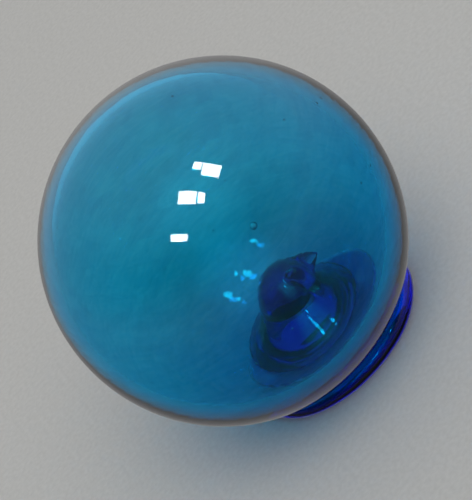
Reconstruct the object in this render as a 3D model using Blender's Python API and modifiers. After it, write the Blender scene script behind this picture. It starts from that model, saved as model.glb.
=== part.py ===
"""Paperweight: a hollow blown-glass ball that stands on a flattened cobalt glass foot.

The foot closes the hole that the blowpipe left in the ball. Glass of the same gather sagged
through that hole and set inside the ball as a leaning drop.
Units are metres, +Z is up, and the origin is at the middle of the foot's underside.
"""

import math

import bmesh
import bpy
from mathutils import Matrix, Vector

# Driving dimensions
BALL_RADIUS = 0.038
BALL_CENTRE_Z = 0.0362
WALL_AT_TOP = 0.0025
WALL_AT_FOOT = 0.0042
FLAT_Z = 0.0020  # the ball's flattened bottom, above the foot's underside
FLAT_WALL = 0.0030  # the wall over that flat
FLAT_BLEND = 0.0005  # how softly the round of the ball runs into the flat
HOLE_RADIUS = 0.0095
HOLE_LIP = 0.0010  # the rounding of the hole's two edges

FOOT_RADIUS = 0.0217
FOOT_HEIGHT = 0.0037  # at the edge, half way round
FOOT_EDGE_WIDTH = 0.0017  # how far in the rounding of the edge reaches
FOOT_TAPER = 0.3  # the share by which the edge is higher at +X, and lower at -X
FOOT_NARROWNESS = 0.90  # its size along Y, as a share of its size along X
FOOT_OFFSET = Vector((0.0018, -0.0022, 0))  # the foot's middle, from under the ball's centre

DROP_TOP_Z = 0.0198
DROP_BULB_RADIUS = 0.0070
DROP_COLLAR_RADIUS = 0.0136  # where its flank has spread over the hole's inner edge
DROP_FLARE = 1.3  # how late the flank spreads on its way down: 1 would be a straight cone
DROP_LEAN = Vector((0.0024, 0.0030, 0))  # how far the drop's top has slumped

TAIL_ROOT = Vector((0.0058, 0.0019, 0.0157))  # the tail left by the shears, on the bulb
TAIL_TIP = Vector((0.0112, 0.0023, 0.0141))
TAIL_ROOT_RADIUS = 0.0018
TAIL_TIP_RADIUS = 0.0002
TAIL_THINNESS = 0.55  # its depth, back to front, as a share of its height

GAP = 0.0003  # clearance between neighbouring pieces

BALL_SEGMENTS = 48
BALL_ARC_STEPS = 24
FOOT_SEGMENTS = 48
FOOT_EDGE_STEPS = 10
DROP_SEGMENTS = 32
DROP_STEPS = 8
TAIL_SEGMENTS = 16
LIP_STEPS = 3
POLE_DISTANCE = 0.0001  # profile points this near the axis are one pole

SMOOTH_ANGLE = math.radians(40)


def clear_scene():
    for item in list(bpy.data.objects):
        bpy.data.objects.remove(item)


def new_collection(name):
    collection = bpy.data.collections.new(name)
    bpy.context.scene.collection.children.link(collection)
    return collection


def glass_material(name, colour, roughness):
    """Tinted glass as one Principled BSDF."""
    material = bpy.data.materials.new(name)
    material.use_nodes = True
    shader = material.node_tree.nodes["Principled BSDF"]
    shader.inputs["Base Color"].default_value = (*colour, 1)
    shader.inputs["Roughness"].default_value = roughness
    shader.inputs["Metallic"].default_value = 0
    shader.inputs["Transmission Weight"].default_value = 0.9
    material.diffuse_color = (*colour, 1)
    return material


def above(height, floor, blend):
    """height, but never under floor: the two meet in a soft curve."""
    over = height - floor
    return floor + 0.5 * (over + math.sqrt(over * over + 4 * blend * blend))


def ball_outside(angle):
    """A point (radius, z) of the ball's outer surface, at an angle from its upper pole."""
    height = BALL_CENTRE_Z + BALL_RADIUS * math.cos(angle)
    return BALL_RADIUS * math.sin(angle), above(height, FLAT_Z, FLAT_BLEND)


def ball_outside_z(radius):
    """The height of the ball's outer surface under its middle, at a distance from the axis."""
    return ball_outside(math.pi - math.asin(radius / BALL_RADIUS))[1]


def ball_inside(angle):
    """A point (radius, z) of the cavity's surface, at an angle from its upper pole."""
    cavity_radius = BALL_RADIUS - (WALL_AT_TOP + WALL_AT_FOOT) / 2
    cavity_centre = BALL_CENTRE_Z + (WALL_AT_FOOT - WALL_AT_TOP) / 2
    height = cavity_centre + cavity_radius * math.cos(angle)
    return cavity_radius * math.sin(angle), above(height, FLAT_Z + FLAT_WALL, FLAT_BLEND)


def angle_at(radius_of, target):
    """The angle below the equator at which a meridian comes in to a target radius."""
    equator, pole = math.pi / 2, math.pi
    for _ in range(50):
        middle = (equator + pole) / 2
        if radius_of(middle)[0] > target:
            equator = middle
        else:
            pole = middle
    return equator


def steps(start, end, count):
    return [start + (end - start) * step / count for step in range(count + 1)]


def turned(name, profile, segments, material, collection):
    """A solid of revolution about Z, from its profile's points (radius, z)."""
    mesh = bpy.data.meshes.new(name)
    edges = [(index, index + 1) for index in range(len(profile) - 1)]
    mesh.from_pydata([(radius, 0, z) for radius, z in profile], edges, [])
    solid = bpy.data.objects.new(name, mesh)
    collection.objects.link(solid)
    screw = solid.modifiers.new("Turn", "SCREW")
    screw.axis = "Z"
    screw.steps = segments
    screw.render_steps = segments
    screw.use_merge_vertices = True
    screw.merge_threshold = POLE_DISTANCE
    mesh.materials.append(material)
    make_real(solid)
    return solid


def make_real(solid):
    """Puts the modifiers' result in the object's own mesh, shaded smooth but for its crisp edges."""
    graph = bpy.context.evaluated_depsgraph_get()
    mesh = bpy.data.meshes.new_from_object(solid.evaluated_get(graph))
    solid.modifiers.clear()
    solid.data = mesh
    mesh.shade_smooth()
    mesh.set_sharp_from_angle(angle=SMOOTH_ANGLE)


def make_ball(collection):
    """The blown shell: round outside, a round cavity inside, and a hole at its lower pole."""
    lip_start = HOLE_RADIUS + HOLE_LIP
    outside_end = angle_at(ball_outside, lip_start)
    inside_end = angle_at(ball_inside, lip_start)
    profile = [ball_outside(angle) for angle in steps(0, outside_end, BALL_ARC_STEPS)]
    lower, upper = profile[-1][1], ball_inside(inside_end)[1]
    for turn in steps(0, math.pi / 2, LIP_STEPS)[1:]:
        radius = lip_start - HOLE_LIP * math.sin(turn)
        profile.append((radius, lower + HOLE_LIP * (1 - math.cos(turn))))
    for turn in steps(math.pi / 2, math.pi, LIP_STEPS)[:-1]:
        radius = lip_start - HOLE_LIP * math.sin(turn)
        profile.append((radius, upper - HOLE_LIP * (1 + math.cos(turn))))
    profile += [ball_inside(angle) for angle in steps(inside_end, 0, BALL_ARC_STEPS)]
    aqua = glass_material("aqua_glass", (0.05, 0.42, 0.60), 0.04)
    turned("ball", profile, BALL_SEGMENTS, aqua, collection)


def cobalt_glass():
    return glass_material("cobalt_glass", (0.01, 0.04, 0.45), 0.06)


def make_seat_cutter(helpers):
    """The ball's outer shape, lowered by the clearance, which hollows the foot's upper face."""
    profile = [
        (radius, z - GAP)
        for radius, z in map(ball_outside, steps(0, math.pi, 2 * BALL_ARC_STEPS))
    ]
    cutter = turned("seat_cutter", profile, BALL_SEGMENTS, cobalt_glass(), helpers)
    cutter.hide_render = True
    cutter.display_type = "WIRE"
    return cutter


def make_foot(collection, helpers):
    """The pressed pad: flat below, rounded at its edge, and moulded to the ball above."""
    land = FOOT_RADIUS - FOOT_EDGE_WIDTH
    profile = [(0, FOOT_HEIGHT)]
    for angle in steps(math.pi / 2, -math.pi / 2, FOOT_EDGE_STEPS):
        radius = land + FOOT_EDGE_WIDTH * math.cos(angle)
        profile.append((radius, FOOT_HEIGHT / 2 * (1 + math.sin(angle))))
    profile.append((0, 0))
    foot = turned("foot_pad", profile, FOOT_SEGMENTS, cobalt_glass(), collection)
    for vertex in foot.data.vertices:
        vertex.co.z *= 1 + FOOT_TAPER * vertex.co.x / FOOT_RADIUS
        vertex.co.y *= FOOT_NARROWNESS
    foot.location = FOOT_OFFSET
    seat = foot.modifiers.new("Seat", "BOOLEAN")
    seat.operation = "DIFFERENCE"
    seat.object = make_seat_cutter(helpers)


def drop_root_z():
    """The height at which the drop leaves the inner edge of the hole."""
    return FLAT_Z + FLAT_WALL + FLAT_BLEND + GAP


def drop_profile():
    """The drop before it slumps, from its top down to its sole in the hole."""
    bulb_z = DROP_TOP_Z - DROP_BULB_RADIUS
    root_z = drop_root_z()
    spread = DROP_COLLAR_RADIUS - DROP_BULB_RADIUS
    profile = []
    for angle in steps(0, math.pi / 2, DROP_STEPS):
        height = bulb_z + DROP_BULB_RADIUS * math.cos(angle)
        profile.append((DROP_BULB_RADIUS * math.sin(angle), height))
    for share in steps(0, 1, DROP_STEPS)[1:]:
        radius = DROP_BULB_RADIUS + spread * share ** DROP_FLARE
        profile.append((radius, bulb_z + (root_z - bulb_z) * share))
    plug_radius = HOLE_RADIUS - GAP
    sole_z = ball_outside_z(0)
    profile += [(plug_radius, root_z), (plug_radius, sole_z), (0, sole_z)]
    return profile


def slump(solid):
    """Leans the drop over. Its sole in the hole stays where it is."""
    for vertex in solid.data.vertices:
        share = max(0, vertex.co.z - drop_root_z()) / (DROP_TOP_Z - drop_root_z())
        vertex.co += DROP_LEAN * share * share * (3 - 2 * share)


def make_tail(helpers):
    """The pointed, flattened end where the gather was sheared off, to be joined to the drop."""
    along = TAIL_TIP - TAIL_ROOT
    mesh = bpy.data.meshes.new("tail")
    form = bmesh.new()
    bmesh.ops.create_cone(
        form,
        cap_ends=True,
        segments=TAIL_SEGMENTS,
        radius1=TAIL_ROOT_RADIUS,
        radius2=TAIL_TIP_RADIUS,
        depth=along.length,
        matrix=along.to_track_quat("Z", "Y").to_matrix().to_4x4(),
    )
    bmesh.ops.transform(form, matrix=Matrix.Diagonal((1, TAIL_THINNESS, 1, 1)), verts=form.verts)
    form.to_mesh(mesh)
    form.free()
    tail = bpy.data.objects.new("tail", mesh)
    tail.location = (TAIL_ROOT + TAIL_TIP) / 2
    tail.hide_render = True
    tail.display_type = "WIRE"
    helpers.objects.link(tail)
    return tail


def make_drop(collection, helpers):
    """The glass in the hole, and the rounded drop that it forms inside the ball."""
    drop = turned("plug_drop", drop_profile(), DROP_SEGMENTS, cobalt_glass(), collection)
    slump(drop)
    joined = drop.modifiers.new("Tail", "BOOLEAN")
    joined.operation = "UNION"
    joined.object = make_tail(helpers)


def main():
    clear_scene()
    collection = new_collection("paperweight")
    helpers = new_collection("cutters")
    make_ball(collection)
    make_foot(collection, helpers)
    make_drop(collection, helpers)


main()
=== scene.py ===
import math
import random

import bmesh
import bpy
from mathutils import Matrix, Vector, noise


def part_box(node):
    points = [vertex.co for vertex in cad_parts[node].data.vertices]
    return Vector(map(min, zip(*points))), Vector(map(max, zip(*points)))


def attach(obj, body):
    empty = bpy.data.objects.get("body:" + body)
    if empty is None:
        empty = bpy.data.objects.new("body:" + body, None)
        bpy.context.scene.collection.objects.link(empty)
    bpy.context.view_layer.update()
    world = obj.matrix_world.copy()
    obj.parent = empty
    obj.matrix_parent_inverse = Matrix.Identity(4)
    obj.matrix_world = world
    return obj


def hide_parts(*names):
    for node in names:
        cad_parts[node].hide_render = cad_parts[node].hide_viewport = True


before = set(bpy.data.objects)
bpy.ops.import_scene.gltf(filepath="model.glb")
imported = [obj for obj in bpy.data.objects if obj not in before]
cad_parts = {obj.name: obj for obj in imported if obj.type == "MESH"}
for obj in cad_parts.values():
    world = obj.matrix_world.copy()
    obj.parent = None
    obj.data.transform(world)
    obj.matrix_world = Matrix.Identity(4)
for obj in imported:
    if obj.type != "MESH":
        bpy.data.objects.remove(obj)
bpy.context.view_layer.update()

# Sizes in metres, taken from the frame
ball_low, ball_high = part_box("ball")
foot_low, foot_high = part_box("foot_pad")
_, drop_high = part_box("plug_drop")

BALL_RADIUS = (ball_high.x - ball_low.x) / 2
BALL_CENTRE = Vector((0, 0, ball_high.z - BALL_RADIUS))
FOOT_MIDDLE = Vector(((foot_high.x + foot_low.x) / 2, (foot_high.y + foot_low.y) / 2, 0))
FOOT_RADIUS = (foot_high.x - foot_low.x) / 2
FOOT_NARROWNESS = (foot_high.y - foot_low.y) / (foot_high.x - foot_low.x)
DROP_TOP_Z = drop_high.z

# The blown wall
FLAT_Z = 0.0020  # the ball's flattened bottom
FLAT_WALL = 0.0030  # the wall over that flat
FLAT_BLEND = 0.0005  # how softly the round of the ball runs into the flat
HOLE_RADIUS = 0.0095
HOLE_LIP = 0.0010  # the rounding of the hole's two edges
WALL = 0.0037  # its mean thickness
WALL_GROWTH = 0.0008  # how much thicker it is on its heavy side, and thinner on the other
HEAVY_SIDE = Vector((0.25, 0.10, -0.96)).normalized()
JOINT_GAP = 0.00005  # between pieces that are fused in the real object
ROOT_Z = FLAT_Z + FLAT_WALL + JOINT_GAP  # where the drop leaves the hole

# The waves in the wall's two surfaces, slow and fine
OUTER_WAVES = 0.00010
OUTER_SKIN = 0.000006
OUTER_INSET = 0.00008  # keeps those waves inside the CAD's ball
WAVES_START_Z = 0.006  # the ball's bottom, which the foot is moulded to, has none
WAVES_BLEND = 0.012
WALL_WAVES = 0.00007
WALL_SKIN = 0.000004

# Bubbles in the wall: small seeds, and one large, flat blister
SEED_COUNT = 30
SEED_RANDOM = 11
SEED_SMALLEST = 0.00010
SEED_SPREAD = 0.00022  # how much larger the largest is
SEED_LOWEST = -0.80  # none is lower than this share of the radius
BLISTER = Vector((0.166, -0.86, 0.48))  # its direction from the ball's centre
BLISTER_RADIUS = 0.00075
SURFACE_DEPTH = 0.0001  # about how far inside BALL_RADIUS the wavy outer surface is

# The pressed foot
FOOT_EDGE_WIDTH = 0.0028  # how far in the rounding of the edge reaches
FOOT_EDGE_BULGE = 0.96  # how far out it reaches, as a share of that
FOOT_TAPER = 0.30  # the share by which the edge is higher at +X, and lower at -X
FOOT_MEAN_HEIGHT = 0.0037
FOOT_WAVES = 0.00020  # how uneven its outline is
FOOT_DENTS = 0.00006
FOOT_INSET = 0.00012  # keeps that outline inside the CAD's foot
SEAT_BLEND = 0.00012  # how softly the moulded seat runs into the edge
SOLE_HOLLOW = 0.00022  # how far the middle of the sole is off the desk
SOLE_RING = 0.96  # where the hollow starts, as a share of the sole's radius

# The drop inside: a bulb whose flank spreads out over the cavity's floor
BULB_RADIUS = 0.0070
COLLAR_RADIUS = 0.0148  # where its flank has spread over the hole's inner edge
COLLAR_EDGE = 0.0004  # the rounding of that spread's edge
FLARE = 1.1  # how late the flank spreads on its way down: 1 would be a straight cone
DROP_LEAN = Vector((0.0024, 0.0030, 0))  # how far its top has slumped
BULB_WAVES = 0.00025
BULB_SKIN = 0.00004
TAIL_WAY = Vector((0.97, 0.10, 0.24)).normalized()
TAIL_LENGTH = 0.0050
TAIL_SWEEP = Vector((-0.0006, -0.0011, -0.0014))  # the tail bends down and forwards
TAIL_TALL = Vector((0, -0.54, -0.84))  # the tail is flat: tall this way and thin across it
TAIL_TALL_SPREAD = 0.22  # the sine of the angle that it spans on the bulb, this way
TAIL_THIN_SPREAD = 0.16  # and across it
FOLD_WAY = Vector((0.72, -0.66, 0.20)).normalized()  # the middle of the fold
FOLD_DOWN = Vector((0.20, 0.0, -0.72)).normalized()  # along the crease, from its middle down
FOLD_DEPTH = 0.0012
FOLD_START, FOLD_END = -0.9, 0.42  # angles along the crease
FOLD_PLACE, FOLD_WIDTH = -0.10, 0.14  # the crease, across FOLD_WAY
LIP_PLACE, LIP_WIDTH = 0.24, 0.16  # the raised lip beside it
LIP_SHARE = 0.5  # the lip's height, as a share of the crease's depth

# Glass: how much red, green and blue it takes off, per metre
AQUA_ABSORBED = (850, 80, 14)
FOOT_ABSORBED = (1300, 230, 2)
DROP_ABSORBED = (1500, 190, 40)

# The view: the foot points down and to the right in the picture
VIEW_ELEVATION = math.radians(33)
VIEW_DISTANCE = 0.50
VIEW_ROLL = math.radians(90 - 43.6)
VIEW_LENS = 175.7
BALL_LEFT_OF_MIDDLE = 0.00266
BALL_ABOVE_MIDDLE = 0.00184

# Three windows that the glass mirrors. Each has its angle off the camera's line, the side of the
# picture that it is on (across, up), its spin in degrees, and its panes, which are (across, up,
# width, height) in metres at LAMP_DISTANCE.
LAMPS = (
    ("lamp_upper", 44.5, (-0.225, 0.974), -14,
     ((-0.19, 0.06, 0.17, 0.16), (0.10, 0, 0.37, 0.28))),
    ("lamp_middle", 31.7, (-0.590, 0.807), -8,
     ((-0.09, 0, 0.38, 0.28), (0.20, 0.01, 0.15, 0.24))),
    ("lamp_lower", 26.0, (-0.998, 0.070), 0, ((0, -0.02, 0.36, 0.15),)),
)
LAMP_DISTANCE = 2.0
LAMP_RADIANCE = 26
INNER_LAMP_SIZE = 0.55  # the lamps seen inside the glass are smaller than the mirrored ones
INNER_LAMP_NEARER = 0.05  # in front of the mirrored ones, which would hide them

# The soft key light, and the studio's air
KEY_SIDE = (-0.5, 0.85)  # the side of the picture that it comes from
KEY_OFF_AXIS = math.radians(24)
KEY_DISTANCE = 5.0
KEY_SIZE = (8.0, 8.0)
KEY_RADIANCE = 1.95
KEY_COLOUR = (1.0, 0.985, 0.96)
AIR_BELOW = (0.07, 0.07, 0.073)
AIR_LEVEL = (0.22, 0.22, 0.219)
AIR_ABOVE = (0.04, 0.042, 0.045)
FLOOR_RADIUS = 4.0


def collection_named(name):
    collection = bpy.data.collections.new(name)
    bpy.context.scene.collection.children.link(collection)
    return collection


PIECES = collection_named("paperweight")
STAGE = collection_named("stage")


def steps(start, end, count):
    return [start + (end - start) * step / count for step in range(count + 1)]


def smooth_step(value):
    value = min(1, max(0, value))
    return value * value * (3 - 2 * value)


def above(height, floor, blend):
    """height, but never under floor: the two meet in a soft curve."""
    over = height - floor
    return floor + 0.5 * (over + math.sqrt(over * over + 4 * blend * blend))


def ripple(point, size, seed):
    """Smooth noise from -1 to 1 that changes over about this size, in the point's units."""
    return noise.noise(point / size + Vector((seed, 2 * seed, 3 * seed)))


# Meshes ---------------------------------------------------------------------------------------


def revolved(profile, segments, place):
    """A closed body from rings of points. profile holds one entry per ring, and place turns an
    entry and an azimuth into a point. The first and last rings are single points."""
    form = bmesh.new()
    rings = []
    for index, entry in enumerate(profile):
        if index in (0, len(profile) - 1):
            rings.append([form.verts.new(place(entry, 0))])
        else:
            turns = steps(0, 2 * math.pi, segments)[:-1]
            rings.append([form.verts.new(place(entry, turn)) for turn in turns])
    for upper, lower in zip(rings, rings[1:]):
        for index in range(segments):
            after = (index + 1) % segments
            if len(upper) == 1:
                corners = (upper[0], lower[index], lower[after])
            elif len(lower) == 1:
                corners = (upper[index], lower[0], upper[after])
            else:
                corners = (upper[index], lower[index], lower[after], upper[after])
            form.faces.new(corners)
    return form


def made_piece(name, form):
    mesh = bpy.data.meshes.new(name)
    form.to_mesh(mesh)
    form.free()
    mesh.shade_smooth()
    piece = bpy.data.objects.new(name, mesh)
    PIECES.objects.link(piece)
    return piece


def turned_point(radius, z, turn):
    return Vector((radius * math.cos(turn), radius * math.sin(turn), z))


# The ball -------------------------------------------------------------------------------------


def outside_ring(angle):
    """(radius, z) of the ball's outer surface at an angle from its upper pole."""
    height = BALL_CENTRE.z + BALL_RADIUS * math.cos(angle)
    return BALL_RADIUS * math.sin(angle), above(height, FLAT_Z, FLAT_BLEND)


def outside_z(radius):
    """The height of the ball's underside at a distance from its axis."""
    return outside_ring(math.pi - math.asin(min(1, radius / BALL_RADIUS)))[1]


def outside_point(angle, turn):
    """The outer surface, a little out of round as a blown ball is."""
    point = turned_point(*outside_ring(angle), turn)
    direction = (point - BALL_CENTRE).normalized()
    waves = OUTER_WAVES * ripple(direction, size=0.9, seed=4.1)
    skin = OUTER_SKIN * ripple(direction, size=0.28, seed=7.7)
    free = smooth_step((point.z - WAVES_START_Z) / WAVES_BLEND)
    return point + direction * (waves + skin - OUTER_INSET) * free


def wall(direction):
    """The thickness of the blown wall in a direction from the ball's centre."""
    growth = WALL_GROWTH * direction.dot(HEAVY_SIDE)
    waves = WALL_WAVES * ripple(direction, size=0.8, seed=1.3)
    skin = WALL_SKIN * ripple(direction, size=0.2, seed=9.2)
    return WALL + growth + (waves + skin)


def inside_point(angle, turn):
    """The cavity's surface, which is flattened over the foot like the outer one."""
    direction = turned_point(math.sin(angle), math.cos(angle), turn)
    point = BALL_CENTRE + direction * (BALL_RADIUS - wall(direction))
    point.z = above(point.z, FLAT_Z + FLAT_WALL, FLAT_BLEND)
    return point


def cavity_floor(spot):
    """The height of the cavity's surface below its middle, at a spot's x and y. It is found in a
    few rounds, because the wall's thickness depends on the direction."""
    height = FLAT_Z + FLAT_WALL
    for _round in range(4):
        direction = (Vector((spot.x, spot.y, height)) - BALL_CENTRE).normalized()
        reach = BALL_RADIUS - wall(direction)
        height = BALL_CENTRE.z - math.sqrt(reach * reach - spot.x * spot.x - spot.y * spot.y)
    return above(height, FLAT_Z + FLAT_WALL, FLAT_BLEND)


def inside_angle(radius):
    """The angle at which the cavity's lower part comes in to this distance from the axis."""
    equator, pole = math.pi / 2, math.pi
    for _halving in range(40):
        middle = (equator + pole) / 2
        if inside_point(middle, 0).xy.length > radius:
            equator = middle
        else:
            pole = middle
    return equator


def add_bubble(form, direction, depth_share, size, flatness):
    """A closed void in the wall. depth_share is 0 at the outer surface and 1 at the cavity."""
    direction = direction.normalized()
    glass = wall(direction) - SURFACE_DEPTH
    reach = BALL_RADIUS - SURFACE_DEPTH - glass * depth_share
    turn = direction.to_track_quat("Z", "Y").to_matrix().to_4x4()
    place = Matrix.Translation(BALL_CENTRE + direction * reach) @ turn
    shape = Matrix.Diagonal((size, size, size * flatness, 1))
    made = bmesh.ops.create_icosphere(form, subdivisions=3, radius=1, matrix=place @ shape)
    faces = {face for vert in made["verts"] for face in vert.link_faces}
    bmesh.ops.reverse_faces(form, faces=list(faces))


def add_bubbles(form):
    draw = random.Random(SEED_RANDOM)
    for _ in range(SEED_COUNT):
        direction = Vector((draw.gauss(0, 1), draw.gauss(0, 1), draw.gauss(0, 1))).normalized()
        size = SEED_SMALLEST + SEED_SPREAD * draw.random() ** 2
        if direction.z > SEED_LOWEST:
            depth_share = draw.uniform(0.3, 0.7)
            add_bubble(form, direction, depth_share, size, flatness=draw.uniform(0.6, 1.0))
    add_bubble(form, BLISTER, depth_share=0.45, size=BLISTER_RADIUS, flatness=0.4)


def make_ball():
    """The blown shell, from its upper pole down outside, through the hole and up inside."""
    segments, arc_steps, lip_steps = 256, 150, 8
    lip_start = HOLE_RADIUS + HOLE_LIP
    outside_end = math.pi - math.asin(lip_start / BALL_RADIUS)
    inside_end = inside_angle(lip_start)
    lower_z = outside_ring(outside_end)[1]
    upper_z = inside_point(inside_end, 0).z
    profile = [("outside", angle) for angle in steps(0, outside_end, arc_steps)]
    for bend in steps(0, math.pi / 2, lip_steps)[1:]:
        z = lower_z + HOLE_LIP * (1 - math.cos(bend))
        profile.append(("lip", (lip_start - HOLE_LIP * math.sin(bend), z)))
    for bend in steps(math.pi / 2, math.pi, lip_steps)[:-1]:
        z = upper_z - HOLE_LIP * (1 + math.cos(bend))
        profile.append(("lip", (lip_start - HOLE_LIP * math.sin(bend), z)))
    profile += [("inside", angle) for angle in steps(inside_end, 0, arc_steps)]

    def place(entry, turn):
        kind, value = entry
        if kind == "outside":
            return outside_point(value, turn)
        if kind == "inside":
            return inside_point(value, turn)
        return turned_point(*value, turn)

    form = revolved(profile, segments, place)
    add_bubbles(form)
    return made_piece("blown_ball", form)


# The foot -------------------------------------------------------------------------------------


def foot_top(spot):
    """The height of the foot's edge, which rises towards +X."""
    return FOOT_MEAN_HEIGHT * (1 + FOOT_TAPER * (spot.x - FOOT_MIDDLE.x) / FOOT_RADIUS)


def make_foot():
    """The pressed pad. Its upper face follows the ball, and its edge is a soft bullnose."""
    segments, seat_steps, edge_steps, sole_steps = 192, 24, 28, 20
    land = FOOT_RADIUS - FOOT_EDGE_WIDTH

    def rim_spot(turn, reach):
        return FOOT_MIDDLE + Vector((math.cos(turn), FOOT_NARROWNESS * math.sin(turn), 0)) * reach

    def edge_reach(turn):
        way = Vector((math.cos(turn), math.sin(turn), 0))
        waves = FOOT_WAVES * ripple(way, size=0.8, seed=3.3)
        dents = FOOT_DENTS * ripple(way, size=0.25, seed=6.1)
        return land - FOOT_INSET + (waves + dents)

    def seat_height(spot):
        """Under the ball, and never over the foot's own top."""
        return -above(JOINT_GAP - outside_z(spot.length), -foot_top(spot), SEAT_BLEND)

    def place(entry, turn):
        kind, value = entry
        edge = edge_reach(turn)
        if kind == "seat":
            spot = rim_spot(turn, edge * value)
            spot.z = seat_height(spot)
        elif kind == "edge":
            bulge = FOOT_EDGE_WIDTH * FOOT_EDGE_BULGE * math.cos(value)
            spot = rim_spot(turn, edge + bulge)
            spot.z = seat_height(rim_spot(turn, edge)) / 2 * (1 + math.sin(value))
        else:
            spot = rim_spot(turn, edge * value)
            hollow = SOLE_HOLLOW * smooth_step((SOLE_RING - value) * 3)
            spot.z = hollow * (1 + 0.3 * ripple(spot, size=0.006, seed=2.2))
        return spot

    profile = [("seat", share) for share in steps(0, 1, seat_steps)]
    bends = steps(math.pi / 2, -math.pi / 2, edge_steps)[1:-1]
    profile += [("edge", bend) for bend in bends]
    profile += [("sole", share) for share in steps(1, 0, sole_steps)]
    return made_piece("pressed_foot", revolved(profile, segments, place))


# The drop -------------------------------------------------------------------------------------


def drop_rings():
    """(radius, z) down the drop before it slumps: bulb, flank, collar and plug."""
    bulb_steps, flank_steps, collar_steps, lip_steps = 80, 48, 6, 8
    bulb_z = DROP_TOP_Z - BULB_RADIUS
    rings = [(BULB_RADIUS * math.sin(angle), bulb_z + BULB_RADIUS * math.cos(angle))
             for angle in steps(0, math.pi / 2, bulb_steps)]
    for share in steps(0, 1, flank_steps)[1:]:
        radius = BULB_RADIUS + (COLLAR_RADIUS - BULB_RADIUS) * share ** FLARE
        rings.append((radius, bulb_z + (ROOT_Z + COLLAR_EDGE - bulb_z) * share))
    for bend in steps(0, math.pi / 2, collar_steps)[1:]:
        rings.append((COLLAR_RADIUS - COLLAR_EDGE * (1 - math.cos(bend)),
                      ROOT_Z + COLLAR_EDGE * (1 - math.sin(bend))))
    lip_start = HOLE_RADIUS + HOLE_LIP
    plug_lip = HOLE_LIP + JOINT_GAP
    sole_z = FLAT_Z + FLAT_BLEND * 0.5
    for bend in steps(0, math.pi / 2, lip_steps):
        rings.append((lip_start - plug_lip * math.sin(bend),
                      ROOT_Z - plug_lip * (1 - math.cos(bend))))
    for bend in steps(math.pi / 2, 0, lip_steps):
        rings.append((lip_start - plug_lip * math.sin(bend),
                      sole_z + plug_lip * (1 - math.cos(bend))))
    rings += [(HOLE_RADIUS * 0.5, sole_z), (0, sole_z)]
    return rings


def slumped(point):
    """Leans a point of the drop over. The plug in the hole stays where it is."""
    share = max(0, point.z - ROOT_Z) / (DROP_TOP_Z - ROOT_Z)
    return point + DROP_LEAN * share * share * (3 - 2 * share)


def bulb_shift(way):
    """How the drop's surface is moved, in a direction from the bulb's middle. The glass is folded
    on one side, and ends in a flat tail where the shears cut it."""
    waves = BULB_WAVES * ripple(way, size=0.9, seed=8.8)
    swell = waves + BULB_SKIN * ripple(way, size=0.35, seed=1.7)
    along = math.atan2(way.dot(FOLD_DOWN), way.dot(FOLD_WAY))
    across = way.dot(FOLD_WAY.cross(FOLD_DOWN))
    reach = (smooth_step((along - FOLD_START) / 0.3)
             * smooth_step((FOLD_END - along) / 0.12))
    crease = abs(across - FOLD_PLACE) / FOLD_WIDTH
    lip = (across - LIP_PLACE) / LIP_WIDTH
    swell -= FOLD_DEPTH * math.exp(-(crease ** 2)) * reach
    swell += FOLD_DEPTH * LIP_SHARE * math.exp(-(lip ** 2)) * reach
    if way.dot(TAIL_WAY) > 0.5:
        aside = way - TAIL_WAY * way.dot(TAIL_WAY)
        tall = aside.dot(TAIL_TALL)
        thin = (aside - TAIL_TALL * tall).length
        near = math.hypot(tall / TAIL_TALL_SPREAD, thin / TAIL_THIN_SPREAD)
        tail = math.exp(-(near ** 1.3))
        return way * (swell + TAIL_LENGTH * tail) + TAIL_SWEEP * tail ** 2
    return way * swell


def make_drop():
    """The drop, moulded to the cavity's floor round the hole and slumped over above it."""
    segments, shift_start, lift_end = 224, 0.006, 0.004
    bulb = Vector((0, 0, DROP_TOP_Z - BULB_RADIUS))

    def place(ring, turn):
        point = turned_point(*ring, turn)
        if ring[1] > ROOT_Z:
            way = (point - bulb).normalized()
            point += bulb_shift(way) * smooth_step((point.z - ROOT_Z) / shift_start)
        lift = 1 - smooth_step((point.z - ROOT_Z) / lift_end)
        if ring[1] >= ROOT_Z:
            point.z += (cavity_floor(point) + JOINT_GAP - ROOT_Z) * lift
        return slumped(point)

    return made_piece("seal_drop", revolved(drop_rings(), segments, place))


# Materials ------------------------------------------------------------------------------------


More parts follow.
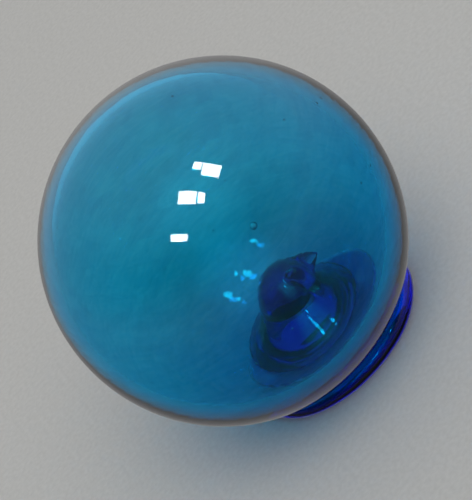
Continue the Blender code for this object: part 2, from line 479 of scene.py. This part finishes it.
class Nodes:
    """Small helper for building a material's node tree."""

    def __init__(self, name):
        self.material = bpy.data.materials.new(name)
        self.material.use_nodes = True
        self.tree = self.material.node_tree
        self.shader = self.tree.nodes["Principled BSDF"]
        self.output = self.tree.nodes["Material Output"]

    def add(self, kind, **values):
        node = self.tree.nodes.new(kind)
        for key, value in values.items():
            setattr(node, key, value)
        return node

    def link(self, source, target):
        self.tree.links.new(source, target)

    def coordinates(self, scale):
        """Object coordinates, stretched by scale."""
        place = self.add("ShaderNodeTexCoord")
        mapping = self.add("ShaderNodeMapping")
        mapping.inputs["Scale"].default_value = scale
        self.link(place.outputs["Object"], mapping.inputs["Vector"])
        return mapping.outputs["Vector"]

    def noise(self, scale, detail, stretch=(1, 1, 1), distortion=0.0):
        texture = self.add("ShaderNodeTexNoise")
        texture.inputs["Scale"].default_value = scale
        texture.inputs["Detail"].default_value = detail
        texture.inputs["Distortion"].default_value = distortion
        self.link(self.coordinates(stretch), texture.inputs["Vector"])
        return texture.outputs["Fac"]

    def ramp(self, factor, stops):
        """A colour ramp. stops are (place, colour)."""
        ramp = self.add("ShaderNodeValToRGB")
        elements = ramp.color_ramp.elements
        for element, (place, colour) in zip(elements, stops):
            element.position, element.color = place, (*colour, 1)
        for place, colour in stops[2:]:
            elements.new(place).color = (*colour, 1)
        self.link(factor, ramp.inputs["Fac"])
        return ramp.outputs["Color"]

    def map_range(self, value, low, high, to_low, to_high):
        node = self.add("ShaderNodeMapRange")
        for name, number in zip(
            ("From Min", "From Max", "To Min", "To Max"), (low, high, to_low, to_high)
        ):
            node.inputs[name].default_value = number
        self.link(value, node.inputs["Value"])
        return node.outputs["Result"]


def tinted_glass(name, tints, absorbed, cord_stretch):
    """Glass whose depth tint is an even absorption. absorbed is how much red, green and blue it
    takes off, per metre. tints are the two surface tints that drift through it as cords."""
    nodes = Nodes(name)
    shader = nodes.shader
    shader.inputs["Transmission Weight"].default_value = 1.0
    shader.inputs["IOR"].default_value = 1.5
    shader.inputs["Metallic"].default_value = 0.0
    cords = nodes.noise(150, 5, cord_stretch, 1.2)
    cord_tint = nodes.ramp(cords, [(0.40, tints[0]), (0.56, tints[1])])
    nodes.link(cord_tint, shader.inputs["Base Color"])
    smears = nodes.noise(90, 4, (1, 1, 1), 0.3)
    nodes.link(nodes.map_range(smears, 0.5, 0.75, 0.0, 0.02), shader.inputs["Roughness"])
    bump = nodes.add("ShaderNodeBump")
    bump.inputs["Strength"].default_value = 1.0
    bump.inputs["Distance"].default_value = 0.00001
    nodes.link(nodes.noise(160, 2, cord_stretch, 0.8), bump.inputs["Height"])
    nodes.link(bump.outputs["Normal"], shader.inputs["Normal"])
    densest = max(absorbed)
    volume = nodes.add("ShaderNodeVolumeAbsorption")
    volume.inputs["Color"].default_value = (*[1 - share / densest for share in absorbed], 1)
    volume.inputs["Density"].default_value = densest
    nodes.link(volume.outputs["Volume"], nodes.output.inputs["Volume"])
    return nodes.material


def aqua_glass():
    tints = ((0.66, 0.88, 0.93), (1.0, 1.0, 1.0))
    return tinted_glass("aqua_glass", tints, AQUA_ABSORBED, (0.7, 0.7, 2.6))


def cobalt_glass(name, absorbed):
    tints = ((0.80, 0.88, 1.0), (1.0, 1.0, 1.0))
    return tinted_glass(name, tints, absorbed, (1, 1, 1.6))


def floor_material():
    nodes = Nodes("pale_floor")
    grain = nodes.noise(900, 3)
    nodes.link(nodes.ramp(grain, [(0.3, (0.60, 0.60, 0.585)), (0.7, (0.66, 0.66, 0.645))]),
               nodes.shader.inputs["Base Color"])
    nodes.shader.inputs["Roughness"].default_value = 0.9
    nodes.shader.inputs["Specular IOR Level"].default_value = 0.1
    return nodes.material


# The stage ------------------------------------------------------------------------------------


def make_floor():
    """A plain pale floor, far wider than the view. The glass doesn't mirror it, so that its
    colours stay deep."""
    mesh = bpy.data.meshes.new("floor")
    form = bmesh.new()
    bmesh.ops.create_circle(form, cap_ends=True, segments=96, radius=FLOOR_RADIUS)
    form.to_mesh(mesh)
    form.free()
    floor = bpy.data.objects.new("floor", mesh)
    STAGE.objects.link(floor)
    mesh.materials.append(floor_material())
    floor.visible_glossy = False
    return floor


def picture_axes():
    """Right, up and forward of the picture, in the object's frame."""
    forward = Vector((0, math.cos(VIEW_ELEVATION), -math.sin(VIEW_ELEVATION)))
    level_right = Vector((1, 0, 0))
    level_up = level_right.cross(forward)
    right = level_right * math.cos(VIEW_ROLL) - level_up * math.sin(VIEW_ROLL)
    up = level_right * math.sin(VIEW_ROLL) + level_up * math.cos(VIEW_ROLL)
    return right, up, forward


def make_camera():
    right, up, forward = picture_axes()
    data = bpy.data.cameras.new("camera")
    data.lens = VIEW_LENS
    data.clip_start, data.clip_end = 0.01, 20
    camera = bpy.data.objects.new("camera", data)
    STAGE.objects.link(camera)
    aim = BALL_CENTRE + right * BALL_LEFT_OF_MIDDLE - up * BALL_ABOVE_MIDDLE
    place = Matrix((right, up, -forward)).transposed().to_4x4()
    place.translation = aim - forward * VIEW_DISTANCE
    camera.matrix_world = place
    bpy.context.scene.camera = camera


def area_light(name, direction, distance, size, radiance, colour=(1, 1, 1)):
    """A rectangular light that faces the ball. radiance is what a mirror would show of it."""
    data = bpy.data.lights.new(name, "AREA")
    data.shape = "RECTANGLE"
    data.size, data.size_y = size
    data.energy = radiance * math.pi * size[0] * size[1]
    data.color = colour
    light = bpy.data.objects.new(name, data)
    STAGE.objects.link(light)
    light.location = BALL_CENTRE + direction.normalized() * distance
    light.rotation_euler = direction.to_track_quat("Z", "Y").to_euler()
    return light


def picture_direction(off_axis, across, upward):
    """The direction that leaves the camera's line by an angle, towards a side of the picture."""
    right, up, forward = picture_axes()
    side = (right * across + up * upward).normalized()
    return side * math.sin(off_axis) - forward * math.cos(off_axis)


def soften_edge(light):
    """Lets an area light fade out smoothly from its middle to its edge."""
    light.use_nodes = True
    tree = light.node_tree
    emission = tree.nodes["Emission"]
    place = tree.nodes.new("ShaderNodeNewGeometry")
    reach = tree.nodes.new("ShaderNodeVectorMath")
    reach.operation = "DISTANCE"
    reach.inputs[1].default_value = (0.5, 0.5, 0)
    tree.links.new(place.outputs["Parametric"], reach.inputs[0])
    fade = tree.nodes.new("ShaderNodeMapRange")
    fade.interpolation_type = "SMOOTHSTEP"
    fade.inputs["From Min"].default_value = 0.10
    fade.inputs["From Max"].default_value = 0.50
    fade.inputs["To Min"].default_value = 1.0
    fade.inputs["To Max"].default_value = 0.0
    tree.links.new(reach.outputs["Value"], fade.inputs["Value"])
    tree.links.new(fade.outputs["Result"], emission.inputs["Strength"])


def add_world_glow(tree, base, way, strength, start, full):
    """Adds a soft round glow to a world shader. start and full are cosines from way."""
    place = tree.nodes.new("ShaderNodeTexCoord")
    facing = tree.nodes.new("ShaderNodeVectorMath")
    facing.operation = "DOT_PRODUCT"
    facing.inputs[1].default_value = way
    tree.links.new(place.outputs["Generated"], facing.inputs[0])
    fade = tree.nodes.new("ShaderNodeMapRange")
    fade.interpolation_type = "SMOOTHSTEP"
    fade.inputs["From Min"].default_value = start
    fade.inputs["From Max"].default_value = full
    fade.inputs["To Max"].default_value = strength
    tree.links.new(facing.outputs["Value"], fade.inputs["Value"])
    glow = tree.nodes.new("ShaderNodeBackground")
    tree.links.new(fade.outputs["Result"], glow.inputs["Strength"])
    both = tree.nodes.new("ShaderNodeAddShader")
    tree.links.new(base, both.inputs[0])
    tree.links.new(glow.outputs[0], both.inputs[1])
    return both.outputs[0]


def make_world():
    """Soft grey air, palest at the horizon, with a pale glow behind the ball and another on the
    side that the key light comes from."""
    world = bpy.data.worlds.new("studio")
    world.use_nodes = True
    tree = world.node_tree
    place = tree.nodes.new("ShaderNodeTexCoord")
    split = tree.nodes.new("ShaderNodeSeparateXYZ")
    tree.links.new(place.outputs["Generated"], split.inputs["Vector"])
    height = tree.nodes.new("ShaderNodeMapRange")
    height.inputs["From Min"].default_value = -1.0
    tree.links.new(split.outputs["Z"], height.inputs["Value"])
    ramp = tree.nodes.new("ShaderNodeValToRGB")
    low, high = ramp.color_ramp.elements
    low.position, low.color = 0.25, (*AIR_BELOW, 1)
    high.position, high.color = 0.78, (*AIR_ABOVE, 1)
    ramp.color_ramp.elements.new(0.53).color = (*AIR_LEVEL, 1)
    tree.links.new(height.outputs["Result"], ramp.inputs["Fac"])
    air = tree.nodes["Background"]
    tree.links.new(ramp.outputs["Color"], air.inputs["Color"])
    forward = picture_axes()[2]
    key_side = picture_direction(math.radians(88), *KEY_SIDE).normalized()
    glow = add_world_glow(tree, air.outputs[0], key_side, strength=0.60, start=-0.05, full=1.0)
    glow = add_world_glow(tree, glow, forward, strength=0.26, start=0.45, full=0.95)
    tree.links.new(glow, tree.nodes["World Output"].inputs["Surface"])
    bpy.context.scene.world = world


def make_lights():
    right = picture_axes()[0]
    for name, off_axis, side, spin, panes in LAMPS:
        back = picture_direction(math.radians(off_axis), *side).normalized()
        level = (right - back * right.dot(back)).normalized()
        level = Matrix.Rotation(math.radians(spin), 3, back) @ level
        upright = back.cross(level)
        for index, (across, rise, width, height) in enumerate(panes):
            spot = level * across + upright * rise
            for kind, size in (("glint", 1.0), ("inner", INNER_LAMP_SIZE)):
                light = area_light(f"{name}_{kind}_{index}", back, LAMP_DISTANCE,
                                   (width * size, height * size), LAMP_RADIANCE)
                place = Matrix((level, upright, back)).transposed().to_4x4()
                nearer = INNER_LAMP_NEARER if kind == "inner" else 0
                place.translation = light.location + spot - back * nearer
                light.matrix_world = place
                light.visible_diffuse = False
                light.visible_transmission = kind == "inner"
    key_way = picture_direction(KEY_OFF_AXIS, *KEY_SIDE)
    key = area_light("key", key_way, KEY_DISTANCE, KEY_SIZE, KEY_RADIANCE, KEY_COLOUR)
    key.visible_glossy = False
    soften_edge(key.data)


def finish_piece(piece, material, slot, *nodes):
    piece.data.materials.append(material)
    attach(piece, "root")
    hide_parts(*nodes)


def main():
    scene = bpy.context.scene
    scene.view_settings.view_transform = "Standard"
    scene.cycles.max_bounces = 24
    scene.cycles.transmission_bounces = 20
    scene.cycles.glossy_bounces = 8
    make_floor()
    make_camera()
    make_lights()
    make_world()
    finish_piece(make_ball(), aqua_glass(), "aqua_glass", "ball")
    foot_glass = cobalt_glass("cobalt_foot", FOOT_ABSORBED)
    finish_piece(make_foot(), foot_glass, "cobalt_foot", "foot_pad")
    drop_glass = cobalt_glass("cobalt_drop", DROP_ABSORBED)
    finish_piece(make_drop(), drop_glass, "cobalt_drop", "plug_drop")


main()
